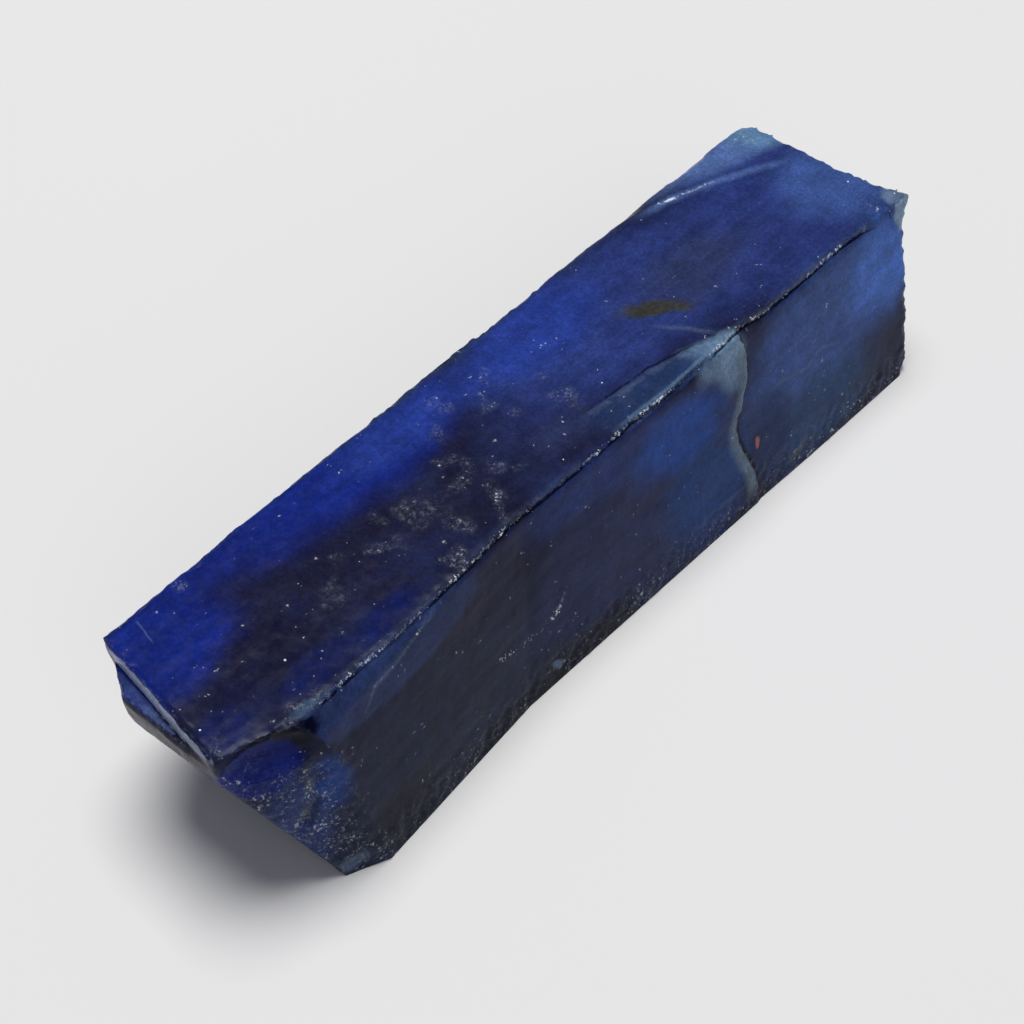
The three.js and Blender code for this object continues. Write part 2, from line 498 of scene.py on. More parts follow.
@dataclass(frozen=True)
class TanzaniteFinish:
    """Cloudy blue stone: colour zones with a painted glow along the left edge, streaks, cracks with painted
    shade, chalky frosting, white specks that are mostly painted glints, and a waxy skin.

    Args:
        zones: Soft colours inside the stone, the lowest first.
        facets: Faces with a colour of their own.
        strokes: Lines of colour.
        glints: Chains of white flecks.
        sway: How far the zones' edges are moved about, in millimetres.
        sway_grain: Noise that moves them.
        veil_grain: Noise that mixes the two ground colours.
        veil: How they mix.
        ragged_grain: Noise that frays facets and strokes, thins frosting and dims flecks.
        facet_fray: How far it frays the facets.
        facet_rim: Where a frayed facet starts and is full.
        cloud_grain: Noise of the cloudy patches.
        cloud_tone: How much they darken and lighten.
        streak_turn: How far the streaks are turned about Z, in degrees.
        streak_scale: How much closer the streaks' noise is along X, Y and Z.
        streak_grain: Noise of the streaks.
        streak_tone: How much they darken and lighten.
        sand_grain: Noise of the finest grain.
        sand_tone: How much it darkens and lightens.
        shake: How far strokes are moved about, in millimetres.
        gap_grain: Noise that breaks strokes.
        gap_edge: How soft the breaks are.
        crumb_grain: Noise of the chalk's crumbs.
        crumb_cover: How far they cover.
        edge_chalk: How much chalk is on the worn edges.
        frost_chalk: How much chalk is on the frosting.
        clump_grain: Noise that gathers the flecks.
        fleck_shine: How bright they are.
        dust_and_glint_plenty: How many fine flecks there are, specks of dirt and painted glints.
        frost_plenty: How many are on the frosting.
        crumble_plenty: How many are on the crumbled places.
        chain_plenty: How many are on the tracks.
        dust_and_glints: Fine flecks all over, specks of dirt and painted glints.
        frosting: Flecks on the frosting, frost and painted glints.
        crumbs: Flecks on the crumbled places, crumbs and painted glints.
        chain: Flecks along the tracks, painted glints.
        fleck_detail: How many finer copies the flecks' noise has.
        fleck_rough: How strong they are.
        fleck_rise: How far full plenty raises that noise.
        fleck_peak: Where a fleck starts and is full.
        spark_cell: Distance between places that may have a spark, in millimetres.
        spark_share: Share of them that have one.
        spark_radius: Radius of the smallest, in cells, and half that of the largest.
        spark_dim: How bright the dimmest is.
        spark_gain: How much brighter the brightest is.
        dent_grain: Noise of the skin's dents.
        dent_depth: How deep they are, from clear skin to frosting.
        dent_strength: How far they turn the light.
        dent_height: Their height, in millimetres.
        rough: How rough the skin is.
        frost_rough: How much rougher the frosting is.
        sheen_level: How strong the skin's gloss is.
        refraction: How far the skin bends light.
    """

    zones: tuple[Zone, ...]
    facets: tuple[Facet, ...]
    strokes: tuple[Stroke, ...]
    glints: tuple[Glints, ...]
    sway: float = 2.2
    sway_grain: Grain = Grain(5.5, 3.0)
    veil_grain: Grain = Grain(7.0, 4.0)
    veil: Ramp = Ramp(0.42, 0.66)
    ragged_grain: Grain = Grain(0.8, 4.0)
    facet_fray: float = 0.9
    facet_rim: Limits = (0.24, 0.76)
    cloud_grain: Grain = Grain(1.5, 4.0, 0.68)
    cloud_tone: Ramp = Ramp(0.3, 0.72, 0.82, 1.2)
    streak_turn: float = -24.0
    streak_scale: Point = (0.1, 1.0, 1.0)
    streak_grain: Grain = Grain(0.8, 3.0)
    streak_tone: Ramp = Ramp(0.3, 0.7, 0.91, 1.1)
    sand_grain: Grain = Grain(0.22, 2.0, 0.7)
    sand_tone: Ramp = Ramp(0.34, 0.68, 0.86, 1.2)
    shake: float = 0.3
    gap_grain: Grain = Grain(1.3, 3.0)
    gap_edge: float = 0.08
    crumb_grain: Grain = Grain(0.24, 3.0, 0.8)
    crumb_cover: Ramp = Ramp(0.44, 0.72)
    edge_chalk: float = 0.24
    frost_chalk: Ramp = Ramp(0.40, 0.62, 0.08, 0.42)
    clump_grain: Grain = Grain(2.2, 3.0)
    fleck_shine: Ramp = Ramp(0.42, 0.72, 0.10, 1.0)
    dust_and_glint_plenty: Ramp = Ramp(0.44, 0.70, 0.26, 0.60)
    frost_plenty: Ramp = Ramp(0.38, 0.56, 0.45, 1.0)
    crumble_plenty: Ramp = Ramp(0.38, 0.56, 0.55, 1.0)
    chain_plenty: Ramp = Ramp(0.38, 0.58, 0.55, 1.1)
    # White flecks, mostly painted glints: fine ones all over, crowds on frosting and crumbs, chains on tracks.
    dust_and_glints: Flecks = Flecks(0.40, 0.40)
    frosting: Flecks = Flecks(0.20, 0.36)
    crumbs: Flecks = Flecks(0.24, 0.50)
    chain: Flecks = Flecks(0.22, 1.0)
    fleck_detail: float = 2.0
    fleck_rough: float = 0.65
    fleck_rise: float = 0.24
    fleck_peak: Limits = (0.80, 0.84)
    spark_cell: float = 1.3
    spark_share: float = 0.13
    spark_radius: float = 0.035
    spark_dim: float = 0.1
    spark_gain: float = 0.75
    dent_grain: Grain = Grain(0.4, 4.0, 0.65)
    dent_depth: Ramp = Ramp(0.0, 1.0, 0.35, 1.0)
    dent_strength: float = 0.4
    dent_height: float = 0.05
    rough: Ramp = Ramp(0.3, 0.7, 0.15, 0.31)
    frost_rough: float = 0.22
    sheen_level: float = 0.045
    refraction: float = 1.69

    def material(self) -> bpy.types.Material:
        """Makes the stone's material.

        Returns:
            The material.
        """
        made = bpy.data.materials.new("tanzanite")
        nodes = Nodes(made)
        place = nodes.add("ShaderNodeTexCoord").outputs["Object"]
        frost = nodes.attribute("frost")
        colour = self._zoned(nodes, place)
        ragged = nodes.noise(place, self.ragged_grain)
        shake = nodes.sum("SUBTRACT", ragged, NOISE_MIDDLE)
        for facet in self.facets:
            share = nodes.sum("MULTIPLY_ADD", shake, self.facet_fray, nodes.attribute(facet.name))
            share = nodes.ease(share, *self.facet_rim, 0.0, facet.share)
            colour = nodes.blend(share, colour, facet.colour.paint())
        colour = self._stroked(nodes, place, colour, shake)
        colour = self._clouded(nodes, place, colour)
        colour = self._frosted(nodes, place, colour, frost, ragged)
        colour = self._specked(nodes, place, colour, frost, ragged)
        rough = nodes.ease(ragged, *self.rough)
        rough = nodes.sum("ADD", rough, nodes.sum("MULTIPLY", frost, self.frost_rough), clamp=True)
        shader = nodes.add(
            "ShaderNodeBsdfPrincipled",
            {
                "Base Color": colour,
                "Roughness": rough,
                "IOR": self.refraction,
                "Specular IOR Level": self.sheen_level,
                "Normal": self._skin(nodes, place, frost),
            },
        )
        nodes.add("ShaderNodeOutputMaterial", {"Surface": shader.outputs["BSDF"]})
        return made

    def _swayed(self, nodes: Nodes, place: Any) -> Any:
        """A place moved about by noise.

        Args:
            nodes: Where the nodes are added.
            place: Coordinates' socket.

        Returns:
            The moved coordinates' socket.
        """
        kind = "ShaderNodeVectorMath"
        wander = nodes.wander(place, self.sway_grain)
        centred = nodes.add(kind, {0: wander, 1: (NOISE_MIDDLE,) * 3}, operation="SUBTRACT").outputs[0]
        scaled = nodes.add(kind, {0: centred, "Scale": self.sway * MM}, operation="SCALE").outputs[0]
        return nodes.add(kind, {0: place, 1: scaled}, operation="ADD").outputs[0]

    def _zoned(self, nodes: Nodes, place: Any) -> Any:
        """Colour of the zones at a place, with edges that sway.

        Args:
            nodes: Where the nodes are added.
            place: Coordinates' socket.

        Returns:
            The colour's socket.
        """
        swayed = self._swayed(nodes, place)
        veil = nodes.ease(nodes.noise(place, self.veil_grain), *self.veil)
        colour = nodes.blend(veil, Palette.INK.paint(), Palette.NAVY.paint())
        for zone in self.zones:
            settings = {
                "Vector": swayed,
                "Location": Vector(zone.middle) * MM,
                "Rotation": (0.0, 0.0, math.radians(zone.turn)),
                "Scale": Vector(zone.reach) * MM,
            }
            local = nodes.add("ShaderNodeMapping", settings, vector_type="TEXTURE").outputs[0]
            ball = nodes.add("ShaderNodeTexGradient", {"Vector": local}, gradient_type="SPHERICAL")
            share = nodes.ease(ball.outputs["Fac"], 0.0, zone.edge, 0.0, zone.share)
            colour = nodes.blend(share, colour, zone.colour.paint())
        return colour

    def _clouded(self, nodes: Nodes, place: Any, colour: Any) -> Any:
        """Colour with cloudy patches and streaks across the bar.

        Args:
            nodes: Where the nodes are added.
            place: Coordinates' socket.
            colour: The colour that is clouded.

        Returns:
            The clouded colour's socket.
        """
        patches = nodes.ease(nodes.noise(place, self.cloud_grain), *self.cloud_tone)
        turn = (0.0, 0.0, math.radians(-self.streak_turn))
        turned = {"Vector": place, "Rotation": turn, "Scale": self.streak_scale}
        streaked = nodes.add("ShaderNodeMapping", turned).outputs[0]
        streaks = nodes.ease(nodes.noise(streaked, self.streak_grain), *self.streak_tone)
        sand = nodes.ease(nodes.noise(place, self.sand_grain), *self.sand_tone)
        tone = nodes.sum("MULTIPLY", nodes.sum("MULTIPLY", patches, streaks), sand)
        grey = nodes.add("ShaderNodeCombineColor", {0: tone, 1: tone, 2: tone}).outputs[0]
        return nodes.blend(1.0, colour, grey, "MULTIPLY")

    def _stroked(self, nodes: Nodes, place: Any, colour: Any, shake: Any) -> Any:
        """Colour with the cracks, veins and rims.

        Args:
            nodes: Where the nodes are added.
            place: Coordinates' socket.
            colour: The colour under them.
            shake: Socket of the noise that moves them, about 0.

        Returns:
            The colour's socket.
        """
        gaps = nodes.noise(place, self.gap_grain)
        for stroke in self.strokes:
            moved = nodes.sum("SUBTRACT", nodes.attribute(stroke.track + "_gap"), stroke.offset)
            shaken = nodes.sum("ADD", moved, nodes.sum("MULTIPLY", shake, self.shake))
            away = nodes.sum("ABSOLUTE", shaken)
            share = nodes.ease(away, stroke.width, stroke.core * stroke.width, 0.0, stroke.share)
            share = nodes.sum("MULTIPLY", share, nodes.attribute(stroke.track + "_run"))
            if stroke.breaks > 0.0:
                whole = nodes.ease(gaps, stroke.breaks - self.gap_edge, stroke.breaks + self.gap_edge)
                share = nodes.sum("MULTIPLY", share, whole)
            colour = nodes.blend(share, colour, stroke.colour.paint())
        return colour

    def _frosted(self, nodes: Nodes, place: Any, colour: Any, frost: Any, ragged: Any) -> Any:
        """Colour with chalky frosting on the patches and the worn edges.

        Args:
            nodes: Where the nodes are added.
            place: Coordinates' socket.
            colour: The colour under it.
            frost: Socket of the mask that holds it.
            ragged: Socket of the noise that thins it.

        Returns:
            The colour's socket.
        """
        crumbs = nodes.ease(nodes.noise(place, self.crumb_grain), *self.crumb_cover)
        worn = nodes.sum("MULTIPLY", nodes.attribute("edge"), crumbs)
        worn = nodes.sum("MULTIPLY", worn, self.edge_chalk)
        thick = nodes.ease(ragged, *self.frost_chalk)
        patch = nodes.sum("MULTIPLY", nodes.sum("MULTIPLY", frost, crumbs), thick)
        chalk = nodes.sum("ADD", patch, worn, clamp=True)
        return nodes.blend(chalk, colour, Palette.CHALK.paint())

    def _specked(self, nodes: Nodes, place: Any, colour: Any, frost: Any, ragged: Any) -> Any:
        """Colour with white flecks, mostly painted glints with some specks of dirt: fine ones all over, crowds
        on frosting and crumbs, and chains on the tracks.

        Args:
            nodes: Where the nodes are added.
            place: Coordinates' socket.
            colour: The colour under them.
            frost: Socket of the frosting's mask.
            ragged: Socket of the noise that dims them.

        Returns:
            The colour's socket.
        """
        clumps = nodes.noise(place, self.clump_grain)
        shine = nodes.ease(ragged, *self.fleck_shine)
        dust_and_glints = nodes.ease(clumps, *self.dust_and_glint_plenty)
        patchy = nodes.sum("MULTIPLY", frost, nodes.ease(clumps, *self.frost_plenty))
        crumble = nodes.ease(clumps, *self.crumble_plenty)
        crumble = nodes.sum("MULTIPLY", nodes.attribute("crumble"), crumble)
        chains = nodes.sum("MULTIPLY", self._chains(nodes), nodes.ease(clumps, *self.chain_plenty))
        white = Palette.SPARK.paint()
        layers = ((self.dust_and_glints, dust_and_glints), (self.frosting, patchy), (self.crumbs, crumble), (self.chain, chains))
        for flecks, plenty in layers:
            cover = nodes.sum("MULTIPLY", self._flecks(nodes, place, flecks.size, plenty), flecks.most)
            colour = nodes.blend(nodes.sum("MULTIPLY", cover, shine), colour, white)
        return nodes.blend(self._sparks(nodes, place), colour, white)

    def _chains(self, nodes: Nodes) -> Any:
        """How plentiful the flecks along the tracks are at a place.

        Args:
            nodes: Where the nodes are added.

        Returns:
            The plenty's socket.
        """
        most: Any = 0.0
        for line in self.glints:
            moved = nodes.sum("SUBTRACT", nodes.attribute(line.track + "_gap"), line.offset)
            near = nodes.ease(nodes.sum("ABSOLUTE", moved), line.width, 0.0, 0.0, line.plenty)
            chain = nodes.sum("MULTIPLY", near, nodes.attribute(line.track + "_run"))
            most = nodes.sum("MAXIMUM", chain, most)
        return most

    def _flecks(self, nodes: Nodes, place: Any, size: float, plenty: Any) -> Any:
        """How far ragged flecks cover a place.

        Args:
            nodes: Where the nodes are added.
            place: Coordinates' socket.
            size: Size of the noise that they are the peaks of, in millimetres.
            plenty: How many there are, from 0 for none to about 1.6.

        Returns:
            The cover's socket.
        """
        peaks = nodes.noise(place, Grain(size, self.fleck_detail, self.fleck_rough))
        return nodes.ease(nodes.sum("MULTIPLY_ADD", plenty, self.fleck_rise, peaks), *self.fleck_peak)

    def _sparks(self, nodes: Nodes, place: Any) -> Any:
        """How bright the few round sparks, painted glints, are at a place.

        Args:
            nodes: Where the nodes are added.
            place: Coordinates' socket.

        Returns:
            The brightness's socket.
        """
        cells = nodes.add("ShaderNodeTexVoronoi", {"Vector": place, "Scale": 1.0 / (self.spark_cell * MM)})
        pick = nodes.add("ShaderNodeSeparateColor", {0: cells.outputs["Color"]}).outputs
        chosen = nodes.sum("LESS_THAN", pick[0], self.spark_share)
        radius = nodes.sum("MULTIPLY_ADD", pick[1], self.spark_radius, self.spark_radius)
        inside = nodes.sum("LESS_THAN", cells.outputs["Distance"], radius)
        bright = nodes.sum("POWER", pick[2], 2.0)
        bright = nodes.sum("MULTIPLY_ADD", bright, self.spark_gain, self.spark_dim)
        return nodes.sum("MULTIPLY", nodes.sum("MULTIPLY", chosen, inside), bright)

    def _skin(self, nodes: Nodes, place: Any, frost: Any) -> Any:
        """Fine dents in the skin, deeper where it is frosted.

        Args:
            nodes: Where the nodes are added.
            place: Coordinates' socket.
            frost: Socket of the frosting's mask.

        Returns:
            The normal's socket.
        """
        dents = nodes.noise(place, self.dent_grain)
        dents = nodes.sum("MULTIPLY", dents, nodes.ease(frost, *self.dent_depth))
        settings = {"Height": dents, "Strength": self.dent_strength, "Distance": self.dent_height * MM}
        return nodes.add("ShaderNodeBump", settings).outputs[0]


@dataclass
class TanzaniteStone:
    """The stone itself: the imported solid, remeshed evenly, with its relief and finish.

    Lengths are in millimetres. A lean is a share of the normal along one axis. The two limits of a mask are
    where it is 0 and where it is 1.

    Args:
        finish: What it is dressed in.
        facets: Faces with a colour of their own.
        tracks: Lines on its faces.
        patches: Frosted places on the top, as x, y and radius.
        chips: Crumbled places, as middle and reach.
        reliefs: Layers of relief, in the order that they are raised.
        weld: Distance under which the solid's corners are one, in metres.
        octree_depth: How finely it is remeshed.
        octree_share: How much of the octree it fills.
        smooth_angle: Edges flatter than this are shaded smooth, in degrees.
        weight_levels: How many steps a vertex group's weights have.
        base_clear: Heights over which relief starts, so that the base stays flat.
        bend: How far the skin stands out where an edge is sharp.
        bend_rounds: How widely that is felt.
        rim_full: How sharp the edge is where its rim is fully worn.
        rim_rounds: How wide that rim is.
        wear_pull: How far each round of wear moves the rim.
        wear_rounds: How many rounds there are.
        drift_seed: Seed of the noise that moves patches and chips about.
        wide_drift: Size of its broad waves and how far they move a place.
        fine_drift: The same for its fine waves.
        top_lean: Which skin is the top, along +Z.
        patch_rim: Radii over which a patch fades out.
        patch_hole: Radii over which its middle fills up.
        patch_middle: How far its middle is frosted.
        chip_rim: Reaches over which a chip fades out.
        corner_x: Where the crumbled near corner starts along X.
        corner_z: Below which height it starts.
        corner_lean: Which skin is on it, along +Y.
        foot_z: Below which height the crumbled foot starts.
        foot_lean: Which skin is on it, along +Y.
        foot_share: How far the foot is crumbled.
        foot_relief: How much more of the crumbs' relief it has.
        crumble_frost: How far crumbled places are frosted.
        crack_shift: How far the ridge's crack lies below the ridge's track.
        crack_width: Half its width.
        chips_width: Half the width of the chips along the ridge.
        vein_width: Half the width of the vein's groove.
        piece: The stone's object.
        masks: One weight per vertex for each relief and finish.
    """

    finish: TanzaniteFinish
    facets: tuple[Facet, ...]
    tracks: tuple[Track, ...]
    patches: tuple[Point, ...]
    chips: tuple[tuple[Point, Point], ...]
    reliefs: tuple[Relief, ...]
    weld: float = 1e-6
    octree_depth: int = 9
    octree_share: float = 0.56
    smooth_angle: float = 32.0
    weight_levels: int = 50
    base_clear: Limits = (0.05, 0.35)
    bend: Limits = (0.02, 0.09)
    bend_rounds: int = 3
    rim_full: float = 0.3
    rim_rounds: int = 3
    wear_pull: float = 0.5
    wear_rounds: int = 8
    drift_seed: int = 5
    wide_drift: Limits = (1.6, 1.1)
    fine_drift: Limits = (0.5, 0.15)
    top_lean: Limits = (0.75, 0.92)
    patch_rim: Limits = (1.4, 0.5)
    patch_hole: Limits = (0.1, 0.6)
    patch_middle: float = 0.5
    chip_rim: Limits = (1.2, 0.5)
    corner_x: Limits = (-23.5, -27.0)
    corner_z: Limits = (11.9, 10.6)
    corner_lean: Limits = (-0.35, -0.75)
    foot_z: Limits = (3.6, 0.7)
    foot_lean: Limits = (-0.5, -0.85)
    foot_share: float = 0.85
    foot_relief: float = 0.4
    crumble_frost: float = 0.6
    crack_shift: float = 0.12
    crack_width: float = 0.24
    chips_width: float = 0.6
    vein_width: float = 0.4
    piece: bpy.types.Object = field(init=False)
    masks: dict[str, np.ndarray] = field(init=False)

    def build(self) -> bpy.types.Object:
        """Makes the stone's mesh and dresses it.

        Returns:
            The finished piece.
        """
        self._copy_solid()
        self._remesh()
        self._mask_skin()
        self._wear_edges()
        for relief in self.reliefs:
            self._raise(relief)
        self._store_masks()
        self._dress()
        return self.piece

    def _copy_solid(self) -> None:
        """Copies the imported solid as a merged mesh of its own."""
        bpy.ops.object.select_all(action="DESELECT")
        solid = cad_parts[NODE]
        self.piece = bpy.data.objects.new("stone", solid.data.copy())
        bpy.context.scene.collection.objects.link(self.piece)
        bpy.context.view_layer.objects.active = self.piece
        self.piece.select_set(True)
        self.piece.data.materials.clear()
        bpy.ops.object.mode_set(mode="EDIT")
        bpy.ops.mesh.select_all(action="SELECT")
        bpy.ops.mesh.remove_doubles(threshold=self.weld)
        bpy.ops.object.mode_set(mode="OBJECT")

    def _remesh(self) -> None:
        """Gives the mesh faces of one small size and keeps its sharp edges."""
        modifier = self.piece.modifiers.new("even_faces", "REMESH")
        modifier.mode = "SHARP"
        modifier.octree_depth = self.octree_depth
        modifier.scale = self.octree_share
        modifier.sharpness = 1.0
        modifier.use_remove_disconnected = True
        bpy.ops.object.modifier_apply(modifier=modifier.name)
        log.info("stone has %d faces", len(self.piece.data.polygons))

    def _places(self) -> np.ndarray:
        """Every vertex, in millimetres.

        Returns:
            One row of x, y and z per vertex.
        """
        flat = np.empty(len(self.piece.data.vertices) * 3, np.float32)
        self.piece.data.vertices.foreach_get("co", flat)
        return flat.reshape(-1, 3).astype(float) / MM

    def _normals(self) -> np.ndarray:
        """Every vertex's outward direction.

        Returns:
            One row of x, y and z per vertex.
        """
        flat = np.empty(len(self.piece.data.vertices) * 3, np.float32)
        self.piece.data.vertices.foreach_get("normal", flat)
        return flat.reshape(-1, 3).astype(float)

    def _spread(self, values: np.ndarray, rounds: int) -> np.ndarray:
        """Averages values with those of the neighbouring vertices.

        Args:
            values: One value, or one row, per vertex.
            rounds: How often.

        Returns:
            The averaged values.
        """
        mesh = self.piece.data
        ends = np.empty(len(mesh.edges) * 2, np.int32)
        mesh.edges.foreach_get("vertices", ends)
        one, other = ends.reshape(-1, 2).T
        count = np.bincount(ends, minlength=len(values)).astype(float)
        count = count.reshape((-1,) + (1,) * (values.ndim - 1))
        for _ in range(rounds):
            total = np.zeros_like(values)
            np.add.at(total, one, values[other])
            np.add.at(total, other, values[one])
            values = 0.5 * values + 0.5 * total / count
        return values

    def _drifted(self, places: np.ndarray, size: float, reach: float) -> np.ndarray:
        """Places moved about by noise.

        Args:
            places: One row of x, y and z per place, in millimetres.
            size: Size of the noise, in millimetres.
            reach: How far a place is moved, in millimetres.

        Returns:
            The moved places.
        """
        noise.seed_set(self.drift_seed)
        return places + reach * np.array([noise.noise_vector(place) for place in places / size])

    def _wear_edges(self) -> None:
        """Rounds the sharp edges a little."""
        modifier = self.piece.modifiers.new("worn_edges", "SMOOTH")
        modifier.factor = self.wear_pull
        modifier.iterations = self.wear_rounds
        modifier.vertex_group = WEAR_MASK
        bpy.ops.object.modifier_apply(modifier=modifier.name)

    def _edge_wear(self, places: np.ndarray) -> np.ndarray:
        """How sharply the skin bends outwards.

        Args:
            places: Every vertex, in millimetres.

        Returns:
            A share from 0 to 1 per vertex.
        """
        proud = places - self._spread(places, self.bend_rounds)
        proud = np.einsum("ij,ij->i", proud, self._normals())
        return smooth_step(*self.bend, self._spread(proud, 1))

    def _frost(self, swayed: np.ndarray, normals: np.ndarray) -> np.ndarray:
        """How far the top is frosted by its patches, each a little clearer in its middle.

        Args:
            swayed: Every vertex moved about by noise, in millimetres.
            normals: Every vertex's outward direction.

        Returns:
            A share from 0 to 1 per vertex.
        """
        top = smooth_step(*self.top_lean, normals[:, 2])
        frost = np.zeros(len(swayed))
        for x, y, radius in self.patches:
            reach = np.hypot(swayed[:, 0] - x, swayed[:, 1] - y) / radius
            middle = self.patch_middle + (1.0 - self.patch_middle) * smooth_step(*self.patch_hole, reach)
            frost = np.maximum(frost, smooth_step(*self.patch_rim, reach) * middle * top)
        return frost

    def _corner(self, places: np.ndarray, normals: np.ndarray) -> np.ndarray:
        """How far each vertex is on the crumbled near corner.

        Args:
            places: Every vertex, in millimetres.
            normals: Every vertex's outward direction.

        Returns:
            A share from 0 to 1 per vertex.
        """
        corner = smooth_step(*self.corner_x, places[:, 0]) * smooth_step(*self.corner_lean, normals[:, 1])
        return corner * smooth_step(*self.corner_z, places[:, 2])

    def _mask_skin(self) -> None:
        """Makes the masks that hold each relief and finish, and stores those of the reliefs."""
        places = self._places()
        normals = self._normals()
        free = smooth_step(*self.base_clear, places[:, 2])
        gaps = {track.name: track.gap(places) for track in self.tracks}
        runs = {track.name: track.run(places, normals) * free for track in self.tracks}
        swayed = self._drifted(self._drifted(places, *self.wide_drift), *self.fine_drift)
        frost = self._frost(swayed, normals)
        foot = smooth_step(*self.foot_z, places[:, 2]) * smooth_step(*self.foot_lean, normals[:, 1])
        crumble = self._corner(places, normals) + self.foot_share * foot
        for middle, spread in self.chips:
            away = np.linalg.norm((swayed - middle) / spread, axis=1)
            crumble = np.maximum(crumble, smooth_step(*self.chip_rim, away))
        edge = self._edge_wear(places) * free
        self.masks = {
            "all": free,
            "edge": edge,
            WEAR_MASK: smooth_step(0.0, self.rim_full, self._spread(edge, self.rim_rounds)) * free,
            "crack": bell(gaps["ridge"] + self.crack_shift, self.crack_width) * runs["ridge"],
            "chips": bell(gaps["ridge"], self.chips_width) * runs["ridge"],
            "vein": bell(gaps["vein"], self.vein_width) * runs["vein"],
            "frost": np.clip(frost + self.crumble_frost * crumble, 0.0, 1.0),
            "crumble": np.clip(crumble, 0.0, 1.0),
            "patch": frost,
            "corner": np.clip(crumble + self.foot_relief * foot, 0.0, 1.0) * free,
        }
        held = {WEAR_MASK} | {relief.mask for relief in self.reliefs}
        for name, weights in self.masks.items():
            if name in held:
                self._weigh(name, weights)

    def _weigh(self, name: str, weights: np.ndarray) -> None:
        """Stores a mask as a vertex group.

        Args:
            name: The group's name.
            weights: One weight per vertex.
        """
        group = self.piece.vertex_groups.new(name=name)
        levels = np.round(np.clip(weights, 0.0, 1.0) * self.weight_levels).astype(int)
        for level in range(1, self.weight_levels + 1):
            chosen = np.flatnonzero(levels == level)
            if len(chosen):
                group.add(chosen.tolist(), level / self.weight_levels, "REPLACE")

    def _raise(self, relief: Relief) -> None:
        """Raises one layer of relief and applies it.

        Args:
            relief: The layer.
        """
        modifier = self.piece.modifiers.new(relief.name, "DISPLACE")
        modifier.vertex_group = relief.mask
        modifier.strength = relief.height * MM
        modifier.mid_level = relief.middle
        guide = None
        texture = None
        if relief.texture is not Texture.PLAIN:
            texture = bpy.data.textures.new(relief.name, relief.texture.value)
            texture.noise_scale = 1.0
            if relief.texture is Texture.CLOUDS:
                texture.noise_depth = relief.depth
            guide = bpy.data.objects.new(relief.name, None)
            guide.scale = Vector(relief.stretch) * relief.size * MM
            bpy.context.scene.collection.objects.link(guide)
            bpy.context.view_layer.update()
            modifier.texture = texture
            modifier.texture_coords = "OBJECT"
            modifier.texture_coords_object = guide
        bpy.ops.object.modifier_apply(modifier=modifier.name)
        if guide is not None:
            bpy.data.objects.remove(guide)
            bpy.data.textures.remove(texture)

    def _store_masks(self) -> None:
        """Stores the masks that the finish reads and drops the vertex groups."""
        self.piece.vertex_groups.clear()
        places = self._places()
        normals = self._normals()
        kept = {name: self.masks[name] for name in FINISH_MASKS}
        kept.update({track.name + "_gap": track.gap(places) for track in self.tracks})
        kept.update({track.name + "_run": track.run(places, normals) for track in self.tracks})
        kept.update({facet.name: facet.mask(places, normals) for facet in self.facets})
        for name, values in kept.items():
            layer = self.piece.data.attributes.new(name, "FLOAT", "POINT")
            layer.data.foreach_set("value", values.astype(np.float32))

    def _dress(self) -> None:
        """Gives the stone its finish and its place in the frame."""
        bpy.ops.object.shade_smooth_by_angle(angle=math.radians(self.smooth_angle))
        self.piece.data.materials.append(self.finish.material())
        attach(self.piece, "root")
        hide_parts(NODE)


@dataclass
class PaperFloor:
    """The white paper that the stone lies on.

    Args:
        side: Its side, in metres.
        colour: What it is coloured.
        rough: How rough it is.
    """

    side: float = 1.6
    colour: Colour = (0.815, 0.81, 0.79)
    rough: float = 0.9

    def build(self) -> bpy.types.Object:
        """Lays the paper at z = 0.

        Returns:
            The paper.
        """
        bpy.ops.object.select_all(action="DESELECT")
        bpy.ops.mesh.primitive_plane_add(size=self.side)
        paper = bpy.context.active_object
        paper.name = "paper"
        material = bpy.data.materials.new("white_paper")
        nodes = Nodes(material)
        look = {"Base Color": (*self.colour, 1.0), "Roughness": self.rough, "Specular IOR Level": 0.0}
        shader = nodes.add("ShaderNodeBsdfPrincipled", look)
        nodes.add("ShaderNodeOutputMaterial", {"Surface": shader.outputs["BSDF"]})
        paper.data.materials.append(material)
        return paper


@dataclass(frozen=True)
class SoftBox:
    """One soft studio light.

    Args:
        name: Its name.
        place: Where it stands, in metres.
        side: Its side, in metres.
        power: Its power, in watts.
        aim: Where it points, in metres.
    """

    name: str
    place: Point
    side: float
    power: float
    aim: Point = (0.0, 0.0, 0.0)


